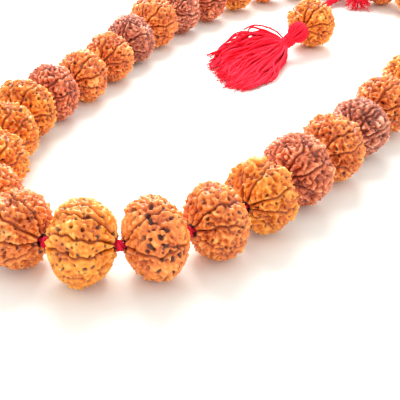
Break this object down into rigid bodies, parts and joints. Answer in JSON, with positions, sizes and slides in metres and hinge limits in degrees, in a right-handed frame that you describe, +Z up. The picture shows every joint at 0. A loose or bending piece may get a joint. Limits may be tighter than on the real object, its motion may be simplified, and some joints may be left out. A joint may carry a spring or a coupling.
{
  "type": "mala prayer beads",
  "caption": "Loop of large ridged round seeds strung with knots between them, joined by a cord to a guru bead with a head-and-skirt tassel.",
  "frame": {"origin": "on the surface that the loop lies on, in the middle of the loop's outline", "axes": "+Z up from the surface, +Y along the loop towards its join, +X to the right of it"},
  "size_m": [0.1705, 0.3363, 0.029],
  "materials": {
    "seed_golden": "natural ridged seed, golden brown, dry and slightly oiled",
    "seed_orange": "natural ridged seed, orange brown, dry and slightly oiled",
    "seed_rosy": "natural ridged seed, reddish brown, dry and slightly oiled",
    "seed_dark": "natural ridged seed, dark brown, dry and slightly oiled",
    "thread": "twisted cotton thread, deep red, matte",
    "cord": "thick twisted cotton cord, red, matte",
    "strands": "loose cotton yarn, bright crimson, matte and slightly fuzzy"
  },
  "bodies": {
    "join": {"join_knot": "thread", "join_tassel": "strands"},
    "link_01": {"thread_link_01": "thread"},
    "link_02": {"thread_link_02": "thread"},
    "link_03": {"thread_link_03": "thread"},
    "link_04": {"thread_link_04": "thread"},
    "link_05": {"thread_link_05": "thread"},
    "link_06": {"thread_link_06": "thread"},
    "link_07": {"thread_link_07": "thread"},
    "link_08": {"thread_link_08": "thread"},
    "link_09": {"thread_link_09": "thread"},
    "link_10": {"thread_link_10": "thread"},
    "link_11": {"thread_link_11": "thread"},
    "link_12": {"thread_link_12": "thread"},
    "link_13": {"thread_link_13": "thread"},
    "link_14": {"thread_link_14": "thread"},
    "link_15": {"thread_link_15": "thread"},
    "link_16": {"thread_link_16": "thread"},
    "guru_link": {"guru_cord": "cord", "guru_thread": "thread"},
    "tassel": {"tassel_head": "strands", "tassel_binding": "thread", "tassel_strands": "strands"},
    "guru_bead": {"guru_bead": "seed_golden"},
    "bead_01": {"bead_01": "seed_orange"},
    "bead_02": {"bead_02": "seed_orange"},
    "bead_03": {"bead_03": "seed_orange"},
    "bead_04": {"bead_04": "seed_golden"},
    "bead_05": {"bead_05": "seed_rosy"},
    "bead_06": {"bead_06": "seed_dark"},
    "bead_07": {"bead_07": "seed_orange"},
    "bead_08": {"bead_08": "seed_dark"},
    "bead_09": {"bead_09": "seed_orange"},
    "bead_10": {"bead_10": "seed_orange"},
    "bead_11": {"bead_11": "seed_rosy"},
    "bead_12": {"bead_12": "seed_golden"},
    "bead_13": {"bead_13": "seed_golden"},
    "bead_14": {"bead_14": "seed_golden"},
    "bead_15": {"bead_15": "seed_orange"},
    "bead_16": {"bead_16": "seed_orange"},
    "bead_17": {"bead_17": "seed_golden"},
    "bead_18": {"bead_18": "seed_orange"},
    "bead_19": {"bead_19": "seed_orange"},
    "bead_20": {"bead_20": "seed_golden"},
    "bead_21": {"bead_21": "seed_rosy"},
    "bead_22": {"bead_22": "seed_orange"},
    "bead_23": {"bead_23": "seed_dark"},
    "bead_24": {"bead_24": "seed_orange"},
    "bead_25": {"bead_25": "seed_golden"},
    "bead_26": {"bead_26": "seed_golden"},
    "bead_27": {"bead_27": "seed_golden"},
    "bead_28": {"bead_28": "seed_rosy"},
    "bead_29": {"bead_29": "seed_dark"},
    "bead_30": {"bead_30": "seed_rosy"},
    "bead_31": {"bead_31": "seed_orange"},
    "bead_32": {"bead_32": "seed_orange"}
  },
  "joints": [
    {"name": "loop_squeeze", "type": "hinge", "parent": "join", "child": "link_01", "pos_m": [-0.012, 0.1555, 0.01325], "axis": [0, 0, 1], "range_deg": [-5.48, 2.35]},
    {"name": "guru_cord_swing", "type": "hinge", "parent": "join", "child": "guru_link", "pos_m": [-0.012, 0.1555, 0.01325], "axis": [0, 0, 1], "range_deg": [-3, 3]},
    {"name": "tassel_swing", "type": "hinge", "parent": "guru_link", "child": "tassel", "pos_m": [-0.00139, 0.05867, 0.01275], "axis": [0, 0, 1], "range_deg": [-8, 8]},
    {"name": "link_02_bend", "type": "hinge", "parent": "link_01", "child": "link_02", "pos_m": [-0.05429, 0.13057, 0.01312], "axis": [0, 0, 1], "range_deg": [-0.44, 0.95]},
    {"name": "link_03_bend", "type": "hinge", "parent": "link_02", "child": "link_03", "pos_m": [-0.06784, 0.08488, 0.01325], "axis": [0, 0, 1], "range_deg": [-1.18, 2.68]},
    {"name": "link_04_bend", "type": "hinge", "parent": "link_03", "child": "link_04", "pos_m": [-0.07189, 0.03658, 0.01325], "axis": [0, 0, 1], "range_deg": [-1.2, 2.73]},
    {"name": "link_05_bend", "type": "hinge", "parent": "link_04", "child": "link_05", "pos_m": [-0.06427, -0.01132, 0.01225], "axis": [0, 0, 1], "range_deg": [-0.43, 0.95]},
    {"name": "link_06_bend", "type": "hinge", "parent": "link_05", "child": "link_06", "pos_m": [-0.05699, -0.05771, 0.01238], "axis": [0, 0, 1], "range_deg": [-0.44, 0.95]},
    {"name": "link_07_bend", "type": "hinge", "parent": "link_06", "child": "link_07", "pos_m": [-0.05031, -0.09889, 0.01362], "axis": [0, 0, 1], "range_deg": [-1.67, 3.82]},
    {"name": "link_08_bend", "type": "hinge", "parent": "link_07", "child": "link_08", "pos_m": [-0.0253, -0.1381, 0.0135], "axis": [0, 0, 1], "range_deg": [-2.41, 1.06]},
    {"name": "link_16_bend", "type": "hinge", "parent": "join", "child": "link_16", "pos_m": [-0.012, 0.1555, 0.01325], "axis": [0, 0, 1], "range_deg": [-1.71, 3.93]},
    {"name": "link_15_bend", "type": "hinge", "parent": "link_16", "child": "link_15", "pos_m": [0.03583, 0.14438, 0.01312], "axis": [0, 0, 1], "range_deg": [-1.2, 2.73]},
    {"name": "link_14_bend", "type": "hinge", "parent": "link_15", "child": "link_14", "pos_m": [0.06279, 0.10534, 0.01312], "axis": [0, 0, 1], "range_deg": [-3.42, 1.5]},
    {"name": "link_13_bend", "type": "hinge", "parent": "link_14", "child": "link_13", "pos_m": [0.07261, 0.05849, 0.01325], "axis": [0, 0, 1], "range_deg": [-2.57, 1.13]},
    {"name": "link_12_bend", "type": "hinge", "parent": "link_13", "child": "link_12", "pos_m": [0.06951, 0.01058, 0.01337], "axis": [0, 0, 1], "range_deg": [-1.33, 0.6]},
    {"name": "link_11_bend", "type": "hinge", "parent": "link_12", "child": "link_11", "pos_m": [0.06882, -0.03719, 0.01287], "axis": [0, 0, 1], "range_deg": [-0.533, 0.257]},
    {"name": "link_10_bend", "type": "hinge", "parent": "link_11", "child": "link_10", "pos_m": [0.06323, -0.083, 0.01388], "axis": [0, 0, 1], "range_deg": [-1.43, 0.64]},
    {"name": "link_09_bend", "type": "hinge", "parent": "link_10", "child": "link_09", "pos_m": [0.05339, -0.12588, 0.01388], "axis": [0, 0, 1], "range_deg": [-4.65, 2.02]},
    {"name": "guru_bead_spin", "type": "hinge", "parent": "guru_link", "child": "guru_bead", "pos_m": [-0.002, 0.0703, 0.01275], "axis": [0.0523, -0.9986, 0], "continuous": true},
    {"name": "bead_01_spin", "type": "hinge", "parent": "link_01", "child": "bead_01", "pos_m": [-0.02584, 0.15102, 0.01325], "axis": [-0.9514, -0.3079, 0], "continuous": true},
    {"name": "bead_02_spin", "type": "hinge", "parent": "link_01", "child": "bead_02", "pos_m": [-0.04565, 0.13899, 0.013], "axis": [-0.7163, -0.6978, 0], "continuous": true},
    {"name": "bead_03_spin", "type": "hinge", "parent": "link_02", "child": "bead_03", "pos_m": [-0.05885, 0.11967, 0.01325], "axis": [-0.3858, -0.9226, 0], "continuous": true},
    {"name": "bead_04_spin", "type": "hinge", "parent": "link_02", "child": "bead_04", "pos_m": [-0.06562, 0.09682, 0.01325], "axis": [-0.1822, -0.9833, 0], "continuous": true},
    {"name": "bead_05_spin", "type": "hinge", "parent": "link_03", "child": "bead_05", "pos_m": [-0.06953, 0.07286, 0.01325], "axis": [-0.14, -0.9902, 0], "continuous": true},
    {"name": "bead_06_spin", "type": "hinge", "parent": "link_03", "child": "bead_06", "pos_m": [-0.07156, 0.0487, 0.013], "axis": [-0.027, -0.9996, 0], "continuous": true},
    {"name": "bead_07_spin", "type": "hinge", "parent": "link_04", "child": "bead_07", "pos_m": [-0.07058, 0.02451, 0.0135], "axis": [0.1076, -0.9942, 0], "continuous": true},
    {"name": "bead_08_spin", "type": "hinge", "parent": "link_04", "child": "bead_08", "pos_m": [-0.06678, 0.00056, 0.0125], "axis": [0.2062, -0.9785, 0], "continuous": true},
    {"name": "bead_09_spin", "type": "hinge", "parent": "link_05", "child": "bead_09", "pos_m": [-0.06167, -0.02318, 0.012], "axis": [0.2146, -0.9767, 0], "continuous": true},
    {"name": "bead_10_spin", "type": "hinge", "parent": "link_05", "child": "bead_10", "pos_m": [-0.05803, -0.04638, 0.012], "axis": [0.0909, -0.9959, 0], "continuous": true},
    {"name": "bead_11_spin", "type": "hinge", "parent": "link_06", "child": "bead_11", "pos_m": [-0.05647, -0.06834, 0.01275], "axis": [0.0493, -0.9988, 0], "continuous": true},
    {"name": "bead_12_spin", "type": "hinge", "parent": "link_06", "child": "bead_12", "pos_m": [-0.05312, -0.08893, 0.01375], "axis": [0.2721, -0.9623, 0], "continuous": true},
    {"name": "bead_13_spin", "type": "hinge", "parent": "link_07", "child": "bead_13", "pos_m": [-0.04478, -0.10856, 0.0135], "axis": [0.4969, -0.8678, 0], "continuous": true},
    {"name": "bead_14_spin", "type": "hinge", "parent": "link_07", "child": "bead_14", "pos_m": [-0.03227, -0.12816, 0.01375], "axis": [0.574, -0.8188, 0], "continuous": true},
    {"name": "bead_15_spin", "type": "hinge", "parent": "link_08", "child": "bead_15", "pos_m": [-0.01572, -0.1462, 0.01325], "axis": [0.7637, -0.6456, 0], "continuous": true},
    {"name": "bead_16_spin", "type": "hinge", "parent": "link_08", "child": "bead_16", "pos_m": [0.00632, -0.15464, 0.0135], "axis": [0.9996, -0.0275, 0], "continuous": true},
    {"name": "bead_17_spin", "type": "hinge", "parent": "link_09", "child": "bead_17", "pos_m": [0.02972, -0.14972, 0.0145], "axis": [0.9012, 0.4335, 0], "continuous": true},
    {"name": "bead_18_spin", "type": "hinge", "parent": "link_09", "child": "bead_18", "pos_m": [0.04702, -0.13517, 0.01425], "axis": [0.5653, 0.8249, 0], "continuous": true},
    {"name": "bead_19_spin", "type": "hinge", "parent": "link_10", "child": "bead_19", "pos_m": [0.05728, -0.11548, 0.0135], "axis": [0.3498, 0.9368, 0], "continuous": true},
    {"name": "bead_20_spin", "type": "hinge", "parent": "link_10", "child": "bead_20", "pos_m": [0.06219, -0.09404, 0.01375], "axis": [0.093, 0.9957, 0], "continuous": true},
    {"name": "bead_21_spin", "type": "hinge", "parent": "link_11", "child": "bead_21", "pos_m": [0.06424, -0.07165, 0.014], "axis": [0.0892, 0.996, 0], "continuous": true},
    {"name": "bead_22_spin", "type": "hinge", "parent": "link_11", "child": "bead_22", "pos_m": [0.06704, -0.04875, 0.0135], "axis": [0.1524, 0.9883, 0], "continuous": true},
    {"name": "bead_23_spin", "type": "hinge", "parent": "link_12", "child": "bead_23", "pos_m": [0.0678, -0.02537, 0.01225], "axis": [-0.0858, 0.9963, 0], "continuous": true},
    {"name": "bead_24_spin", "type": "hinge", "parent": "link_12", "child": "bead_24", "pos_m": [0.06815, -0.00149, 0.01275], "axis": [0.1123, 0.9937, 0], "continuous": true},
    {"name": "bead_25_spin", "type": "hinge", "parent": "link_13", "child": "bead_25", "pos_m": [0.07083, 0.02265, 0.014], "axis": [0.1087, 0.9941, 0], "continuous": true},
    {"name": "bead_26_spin", "type": "hinge", "parent": "link_13", "child": "bead_26", "pos_m": [0.07238, 0.04661, 0.0135], "axis": [0.0191, 0.9998, 0], "continuous": true},
    {"name": "bead_27_spin", "type": "hinge", "parent": "link_14", "child": "bead_27", "pos_m": [0.0711, 0.07053, 0.013], "axis": [-0.1244, 0.9922, 0], "continuous": true},
    {"name": "bead_28_spin", "type": "hinge", "parent": "link_14", "child": "bead_28", "pos_m": [0.06619, 0.09395, 0.01325], "axis": [-0.2859, 0.9583, 0], "continuous": true},
    {"name": "bead_29_spin", "type": "hinge", "parent": "link_15", "child": "bead_29", "pos_m": [0.05735, 0.11617, 0.013], "axis": [-0.4489, 0.8936, 0], "continuous": true},
    {"name": "bead_30_spin", "type": "hinge", "parent": "link_15", "child": "bead_30", "pos_m": [0.04387, 0.13569, 0.01325], "axis": [-0.6792, 0.7339, 0], "continuous": true},
    {"name": "bead_31_spin", "type": "hinge", "parent": "link_16", "child": "bead_31", "pos_m": [0.02515, 0.14943, 0.013], "axis": [-0.904, 0.4276, 0], "continuous": true},
    {"name": "bead_32_spin", "type": "hinge", "parent": "link_16", "child": "bead_32", "pos_m": [0.00264, 0.15494, 0.01325], "axis": [-0.9993, 0.0385, 0], "continuous": true}
  ],
  "couplings": [
    {"joint": "link_02_bend", "follows": "loop_squeeze", "ratio": -0.16458},
    {"joint": "link_03_bend", "follows": "loop_squeeze", "ratio": -0.47982},
    {"joint": "link_04_bend", "follows": "loop_squeeze", "ratio": -0.48859},
    {"joint": "link_05_bend", "follows": "loop_squeeze", "ratio": -0.16407},
    {"joint": "link_06_bend", "follows": "loop_squeeze", "ratio": -0.16484},
    {"joint": "link_07_bend", "follows": "loop_squeeze", "ratio": -0.68905},
    {"joint": "link_08_bend", "follows": "loop_squeeze", "ratio": 0.43119},
    {"joint": "link_16_bend", "follows": "loop_squeeze", "ratio": -0.70849},
    {"joint": "link_15_bend", "follows": "loop_squeeze", "ratio": -0.48912},
    {"joint": "link_14_bend", "follows": "loop_squeeze", "ratio": 0.61615},
    {"joint": "link_13_bend", "follows": "loop_squeeze", "ratio": 0.46011},
    {"joint": "link_12_bend", "follows": "loop_squeeze", "ratio": 0.23336},
    {"joint": "link_11_bend", "follows": "loop_squeeze", "ratio": 0.088232},
    {"joint": "link_10_bend", "follows": "loop_squeeze", "ratio": 0.25212},
    {"joint": "link_09_bend", "follows": "loop_squeeze", "ratio": 0.83932}
  ]
}
